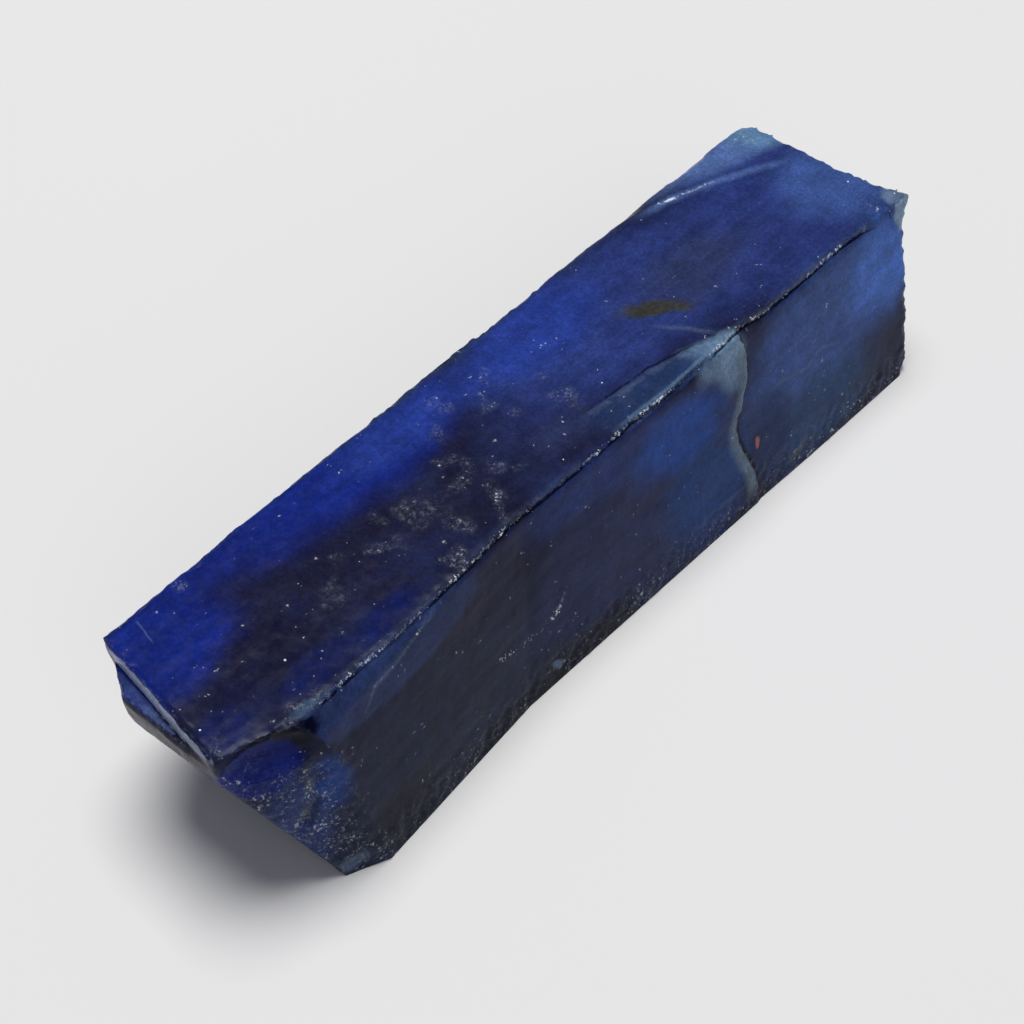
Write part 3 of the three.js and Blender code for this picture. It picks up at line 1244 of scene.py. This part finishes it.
@dataclass
class Studio:
    """Light and camera.

    Args:
        boxes: The lights.
        sky: Colour of the light from all round.
        target: Where the camera looks, in millimetres.
        distance: How far from there it stands, in millimetres.
        azimuth: How far it is turned about Z from the front, in degrees.
        elevation: How high it stands, in degrees.
        lens: Its focal length, in millimetres.
        near_clip: The nearest that it sees, in metres.
    """

    boxes: tuple[SoftBox, ...]
    sky: Colour = (0.092, 0.098, 0.135)
    target: Point = (-2.867, 0.413, 6.35)
    distance: float = 136.0
    azimuth: float = -48.35
    elevation: float = 50.0
    lens: float = 73.34
    near_clip: float = 0.005

    def build(self) -> None:
        """Sets the light and the camera."""
        scene = bpy.context.scene
        scene.view_settings.view_transform = "Standard"
        scene.view_settings.look = "None"
        world = bpy.data.worlds.new("studio")
        world.use_nodes = True
        world.node_tree.nodes["Background"].inputs["Color"].default_value = (*self.sky, 1.0)
        scene.world = world
        for box in self.boxes:
            self._hang(box)
        self._aim_camera()

    def _hang(self, box: SoftBox) -> None:
        """Hangs one light and turns it to its aim.

        Args:
            box: The light.
        """
        light = bpy.data.lights.new(box.name, "AREA")
        light.shape = "DISK"
        light.size = box.side
        light.energy = box.power
        lamp = bpy.data.objects.new(box.name, light)
        lamp.location = box.place
        lamp.rotation_euler = (Vector(box.aim) - Vector(box.place)).to_track_quat("-Z", "Y").to_euler()
        bpy.context.scene.collection.objects.link(lamp)

    def _aim_camera(self) -> None:
        """Sets the camera at the photograph's angle."""
        around, up = math.radians(self.azimuth), math.radians(self.elevation)
        back = Vector((math.sin(around) * math.cos(up), -math.cos(around) * math.cos(up), math.sin(up)))
        camera = bpy.data.objects.new("camera", bpy.data.cameras.new("camera"))
        camera.data.lens = self.lens
        camera.data.clip_start = self.near_clip
        camera.location = (Vector(self.target) + back * self.distance) * MM
        camera.rotation_euler = (-back).to_track_quat("-Z", "Y").to_euler()
        bpy.context.scene.collection.objects.link(camera)
        bpy.context.scene.camera = camera


ZONES = (
    # Cobalt zones along the left edge: the stone's zoning, with a painted glow of light shining through it.
    Zone(Palette.COBALT_GLOW, (-28.7, 4.2, 14.4), (6.6, 5.0, 6.0)),
    Zone(Palette.COBALT_GLOW, (-12.0, 5.6, 14.4), (13.0, 4.0, 6.0)),
    Zone(Palette.COBALT_GLOW, (-22.0, 7.2, 14.4), (8.0, 2.6, 4.0), 0.8),
    Zone(Palette.ROYAL, (9.0, 2.6, 14.4), (16.0, 7.2, 6.0)),
    Zone(Palette.BRIGHT_COBALT_GLOW, (-8.0, 5.6, 14.4), (7.0, 2.4, 4.0), 0.8),
    Zone(Palette.BRIGHT_COBALT_GLOW, (3.6, 5.0, 14.4), (9.0, 3.6, 4.0), 0.95),
    Zone(Palette.DENIM, (17.6, 0.6, 14.4), (8.0, 3.6, 4.0), 0.95, -10.0),
    Zone(Palette.ROYAL, (25.5, 3.2, 14.4), (8.0, 6.0, 5.0), 0.9),
    Zone(Palette.ROYAL, (22.5, -2.6, 14.3), (11.0, 3.6, 3.0), 0.8),
    Zone(Palette.STEEL, (29.8, -0.8, 14.4), (6.0, 5.2, 4.0), 0.9),
    Zone(Palette.CHIP_BLUE, (26.5, 7.4, 14.0), (9.0, 2.8, 3.0), 0.9, -8.0),
    Zone(Palette.TEAL, (31.0, 6.9, 13.6), (4.2, 3.2, 3.0), 0.95),
    Zone(Palette.CORE, (-25.6, -0.7, 14.3), (6.0, 2.6, 3.0), 0.8, 6.0),
    Zone(Palette.BLUE_PATCH, (-18.7, -3.7, 14.2), (4.0, 1.3, 2.0), 0.9, 6.0),
    Zone(Palette.BLUE_PATCH, (-23.8, -3.4, 14.2), (3.6, 1.5, 2.0), 0.7, 4.0),
    Zone(Palette.BLUE_PATCH, (-30.0, -2.6, 14.2), (2.4, 1.6, 2.0), 0.8),
    Zone(Palette.DENIM, (-0.9, -1.8, 14.3), (3.6, 1.8, 2.0), 0.5),
    Zone(Palette.PALE_SLAB, (11.2, -4.2, 14.2), (3.2, 0.9, 1.4), 0.55, -16.0),
    Zone(Palette.RIM, (-4.0, 7.7, 14.3), (28.0, 0.9, 1.6), 0.6, 0.0, 0.9),
    Zone(Palette.SIDE_GREY, (-16.0, -8.4, 4.5), (19.0, 4.4, 14.0)),
    Zone(Palette.SIDE_NAVY, (2.0, -7.2, 7.5), (15.0, 4.0, 10.0)),
    Zone(Palette.SIDE_RIDGE, (-0.5, -5.0, 12.4), (10.0, 2.0, 2.6), 0.8),
    Zone(Palette.SIDE_TEAL, (8.6, -7.2, 5.0), (6.0, 2.8, 6.0), 0.9),
    Zone(Palette.SIDE_BLUE, (6.6, -5.7, 10.4), (6.2, 2.2, 3.8), 0.9),
    Zone(Palette.SIDE_STEEL, (22.0, -6.3, 9.0), (12.0, 3.2, 8.0), 0.95),
    Zone(Palette.SIDE_BRIGHT, (29.0, -5.8, 10.0), (5.5, 2.6, 5.5), 0.9),
    Zone(Palette.SIDE_LOW, (20.5, -7.8, 3.0), (9.0, 2.2, 4.2), 0.9),
    Zone(Palette.SIDE_DEEP, (15.6, -7.3, 4.4), (2.8, 2.4, 5.0), 0.9),
    Zone(Palette.PALE_SLAB, (12.2, -5.2, 12.6), (2.1, 2.0, 2.8), 0.85),
    Zone(Palette.PALE_SLAB, (11.0, -5.0, 13.5), (2.8, 1.6, 1.9), 0.7),
    # Darker towards the bottom of the right side, along the foot.
    Zone(Palette.FOOT_DARK, (-4.6, -7.6, 0.6), (7.0, 2.0, 2.2), 0.75),
    Zone(Palette.FOOT_DARK, (-12.5, -7.6, 0.4), (6.0, 2.0, 1.8), 0.6),
    Zone(Palette.FOOT_DARK, (-22.0, -8.2, 2.0), (4.0, 2.0, 3.2), 0.6),
    Zone(Palette.OLIVE, (11.65, 0.55, 14.35), (3.4, 0.9, 1.4), 1.0, -32.0),
    Zone(Palette.SIDE_SLATE, (-28.5, -5.6, 6.0), (3.2, 3.0, 7.0), 0.9),
    Zone(Palette.SIDE_BLUE, (-26.3, -6.4, 8.8), (1.7, 1.8, 3.2), 0.6),
    Zone(Palette.RUST, (13.95, -7.0, 4.6), (0.32, 0.5, 0.6), 0.95, 0.0, 0.3),
    Zone(Palette.OLIVE_PALE, (17.8, -8.0, 1.3), (1.1, 0.6, 0.45), 0.5),
    Zone(Palette.MIST, (-26.3, -7.7, 0.9), (1.8, 0.9, 0.8), 0.4),
    Zone(Palette.TEAL, (-26.0, -5.0, 14.2), (1.5, 0.7, 0.9), 0.3),
    Zone(Palette.MIST, (-7.3, -7.6, 1.3), (0.9, 0.6, 0.4), 0.7),
)

ANY_WAY: Point = (0.0, 0.0, 0.0)
FACETS = (
    Facet("riser", Palette.LAVENDER, (-0.99, 0.14, -0.03), (-31.4, 2.0, 13.8), (1.5, 6.5, 1.0), 0.75),
    Facet("ledge", Palette.LEDGE_BLUE, (-0.10, 0.0, 0.99), (-31.7, 2.0, 13.0), (1.3, 6.0, 0.7), 0.95),
    Facet("ledge_pale", Palette.MIST, (-0.10, 0.0, 0.99), (-31.9, 0.0, 13.0), (0.7, 3.4, 0.7), 0.25),
    Facet("front", Palette.INK, (-0.99, 0.0, -0.10), (-32.0, 1.5, 12.2), (1.0, 6.5, 1.4), 0.9),
    Facet("bevel_face", Palette.BEVEL_BLUE, (0.03, -0.82, 0.57), (-20.5, -5.4, 13.0), (9.5, 2.2, 2.6), 0.75),
    # Painted shade: the hollow is near black just under its rim.
    Facet("hollow_shade", Palette.HOLLOW_SHADE, ANY_WAY, (-28.5, -4.8, 13.4), (3.6, 1.7, 1.4), 0.95),
    Facet("hollow_floor", Palette.HOLLOW_BLUE, ANY_WAY, (-30.0, -4.6, 11.6), (3.4, 2.2, 2.2), 0.6),
    Facet("knob", Palette.PALE, ANY_WAY, (31.6, -5.3, 13.2), (1.6, 1.5, 1.8), 0.9),
    Facet("knob_top", Palette.PALE, (0.0, 0.0, 1.0), (31.9, -5.1, 14.2), (2.1, 2.0, 1.0), 0.4),
)

RIDGE = Track(
    "ridge",
    Course.ALONG_RIDGE,
    (
        (-26.4, 8.90), (-22.5, 8.88), (-19.0, 8.75), (-15.0, 9.12), (-11.0, 9.34), (-8.8, 9.50),
        (-6.0, 9.32), (-2.0, 9.24), (2.0, 9.32), (7.4, 9.12), (10.5, 9.24), (12.8, 9.45),
        (14.5, 9.32), (16.5, 8.88), (20.0, 8.88), (24.4, 9.02), (26.8, 8.80), (28.6, 8.30),
    ),
)
BEVEL = Track(
    "bevel",
    Course.ALONG_SIDE,
    ((-23.5, 11.5), (-22.4, 12.0), (-21.8, 12.6), (-19.8, 12.75), (-17.5, 13.35), (-15.5, 13.65)),
)
VEIN = Track(
    "vein",
    Course.UP_SIDE,
    ((4.8, -29.2), (5.6, -28.9), (6.7, -28.2), (9.0, -27.5), (11.4, -27.1)),
)
SLAB = Track(
    "slab",
    Course.UP_SIDE,
    (
        (0.3, 13.25), (1.5, 13.25), (3.1, 13.1), (4.7, 12.45), (6.45, 11.95), (7.9, 12.3), (9.0, 13.1),
        (10.0, 13.55), (11.3, 13.9), (12.7, 13.7), (14.2, 13.3),
    ),
)
LENS = Track(
    "lens",
    Course.ALONG_TOP,
    ((-0.6, -1.5), (0.4, -1.7), (1.8, -2.0), (4.4, -2.3), (7.1, -2.55), (10.2, -3.3), (12.6, -4.35)),
    4.0,
)
CREASE = Track("crease", Course.ACROSS_TOP, ((-4.5, 12.8), (-2.0, 11.3), (0.3, 9.45)))
CREST = Track(
    "crest",
    Course.ALONG_TOP,
    ((16.5, 7.05), (19.9, 6.5), (23.7, 5.3), (26.0, 4.35), (29.8, 2.5)),
    2.5,
)
GLINT = Track("glint", Course.ALONG_TOP, ((18.4, 6.85), (19.6, 6.6), (21.4, 6.05), (23.9, 5.25)), 0.9)
STREAK = Track(
    "streak",
    Course.ALONG_RIDGE,
    ((1.0, 9.70), (4.0, 9.66), (7.4, 9.55), (10.5, 9.70), (13.0, 9.75)),
    3.0,
)
THREAD = Track(
    "thread",
    Course.ALONG_SIDE,
    ((-13.2, 5.9), (-12.4, 5.7), (-9.1, 4.9), (-6.2, 5.3), (-4.6, 7.4)),
)
ARC = Track(
    "arc",
    Course.ALONG_SIDE,
    ((15.3, 7.6), (17.2, 7.7), (19.8, 7.05), (21.2, 7.7), (23.8, 6.95)),
)
SCRATCH = Track("scratch", Course.ACROSS_TOP, ((4.6, -28.9), (6.7, -28.4)), 0.3)
TRACKS = (RIDGE, BEVEL, VEIN, SLAB, LENS, CREASE, CREST, GLINT, STREAK, ARC, THREAD, SCRATCH)

STROKES = (
    Stroke("ridge", Palette.MIST, 0.50, 0.10, 0.40, 0.46),
    # Partly a crack, partly painted shade in the groove just below the ridge.
    Stroke("ridge", Palette.CRACK_AND_SHADE, 0.17, 0.92, -0.14, 0.38, 0.4),
    Stroke("bevel", Palette.BEVEL_BLUE, 1.20, 0.60, 0.80, 0.0, 0.5),
    Stroke("bevel", Palette.MIST, 0.28, 0.30, 0.0, 0.42),
    Stroke("vein", Palette.CRACK_AND_SHADE, 0.50, 0.55, 0.45, 0.44),
    Stroke("vein", Palette.OLIVE_PALE, 0.50, 0.60, -0.10, 0.45),
    Stroke("slab", Palette.DULL_SLAB, 0.90, 0.75, -0.45),
    Stroke("slab", Palette.MIST, 0.22, 0.45, -0.18, 0.45),
    # Painted shadow of the slab's proud edge on the skin beside it.
    Stroke("slab", Palette.CRACK_AND_SHADE, 0.26, 0.90, 0.22, 0.0, 0.4),
    Stroke("lens", Palette.LENS_BLUE, 1.50, 0.50, -1.30, 0.0, 0.3),
    # Painted highlight along the lens's rim, on its ridge side.
    Stroke("lens", Palette.MIST, 0.35, 0.25, -0.35, 0.42),
    Stroke("lens", Palette.CRACK_AND_SHADE, 0.12, 0.75, 0.0, 0.42, 0.3),
    Stroke("streak", Palette.PALE_SLAB, 0.26, 0.40, 0.0, 0.0, 0.2),
    Stroke("crease", Palette.MIST, 0.40, 0.25),
    # Painted highlight along the crest: a soft pale band, then broken white glints.
    Stroke("crest", Palette.CHIP_BLUE, 0.60, 0.65),
    Stroke("glint", Palette.SPARK, 0.16, 0.55, 0.0, 0.54, 0.2),
    Stroke("arc", Palette.MIST, 0.25, 0.32, 0.0, 0.42),
    Stroke("scratch", Palette.MIST, 0.09, 0.35),
)

# Chains of painted glints along the tracks.
GLINTS = (
    Glints("ridge", 0.48, 1.25, 0.10),
    Glints("bevel", 0.45, 0.90),
    Glints("thread", 0.60, 1.60),
    Glints("vein", 0.80, 1.20, -0.10),
    Glints("lens", 0.30, 0.60),
    Glints("slab", 0.30, 0.45, -0.15),
    Glints("glint", 0.45, 1.10),
)

PATCHES = (
    (-7.6, 1.9, 0.5), (-7.0, 0.9, 0.6), (-7.6, -0.25, 0.6), (-9.1, -0.35, 0.7), (-10.7, 0.0, 0.7),
    (-11.8, 0.8, 0.6), (-4.65, 5.0, 0.6), (-5.95, 3.5, 0.8), (-0.4, 4.55, 0.7), (-2.2, 3.9, 0.4),
    (-2.4, 3.0, 0.5), (-5.9, -1.15, 0.8), (-7.45, -2.5, 0.8), (-8.1, -3.3, 0.5), (-10.65, -2.1, 0.9),
    (-11.9, -0.5, 0.4), (-14.0, -0.5, 0.6), (-14.9, -0.4, 0.6), (-17.5, 1.3, 0.7), (-19.3, -0.6, 0.9),
    (-13.6, 1.9, 0.5), (-1.4, 1.1, 0.5), (1.35, -0.6, 0.6), (-4.7, -2.2, 0.4), (2.25, 1.45, 0.4),
    (-12.7, -3.7, 0.5), (-25.2, -5.0, 0.8), (-26.5, -4.8, 0.6), (-31.4, -2.9, 0.7), (-24.7, 6.5, 0.7),
    (29.8, 7.0, 0.9), (29.6, 6.0, 0.9),
)
CHIPS = (
    ((-26.3, -7.7, 0.9), (1.8, 1.0, 0.9)),
    ((-7.3, -7.6, 1.3), (1.0, 0.8, 0.5)),
    ((-5.6, -7.5, 1.3), (1.2, 0.8, 0.9)),
    ((17.8, -8.0, 1.3), (1.2, 0.8, 0.6)),
    ((-30.6, -4.0, 12.2), (1.5, 1.2, 1.0)),
    ((29.5, 6.8, 13.9), (1.3, 1.3, 0.8)),
)
RELIEFS = (
    Relief("swell", Texture.CLOUDS, 6.0, 0.18, "all"),
    Relief("striae", Texture.CLOUDS, 0.9, 0.05, "all", stretch=(14.0, 1.0, 1.0)),
    Relief("edge_chips", Texture.CLOUDS, 1.5, -0.36, "rim", middle=0.40, depth=3),
    Relief("edge_nicks", Texture.CELLS, 0.7, -0.20, "rim", middle=0.3),
    Relief("ridge_chips", Texture.CELLS, 0.7, -0.14, "chips", middle=0.15),
    Relief("ridge_crack", Texture.PLAIN, 1.0, -0.13, "crack", middle=0.0),
    Relief("corner_crumbs", Texture.CLOUDS, 0.8, 0.24, "corner", depth=4),
    Relief("corner_pits", Texture.CELLS, 0.6, 0.16, "corner"),
    Relief("patch_pits", Texture.CLOUDS, 0.55, 0.14, "patch", middle=0.6, depth=3),
    Relief("vein_groove", Texture.PLAIN, 1.0, -0.18, "vein", middle=0.0),
    Relief("grain", Texture.CLOUDS, 0.5, 0.04, "all", depth=3),
)
BOXES = (
    SoftBox("main", (0.045, 0.08, 0.62), 0.34, 3.52),
    SoftBox("fill", (-0.25, -0.50, 0.35), 0.50, 0.50),
)


def main() -> None:
    """Builds the light, the paper and the stone in order."""
    logging.basicConfig(level=logging.INFO, format="%(name)s: %(message)s")
    Studio(BOXES).build()
    log.info("studio is lit")
    paper = PaperFloor().build()
    log.info("made %s", paper.name)
    finish = TanzaniteFinish(ZONES, FACETS, STROKES, GLINTS)
    stone = TanzaniteStone(finish, FACETS, TRACKS, PATCHES, CHIPS, RELIEFS).build()
    log.info("made %s", stone.name)


if __name__ == "__main__":
    main()
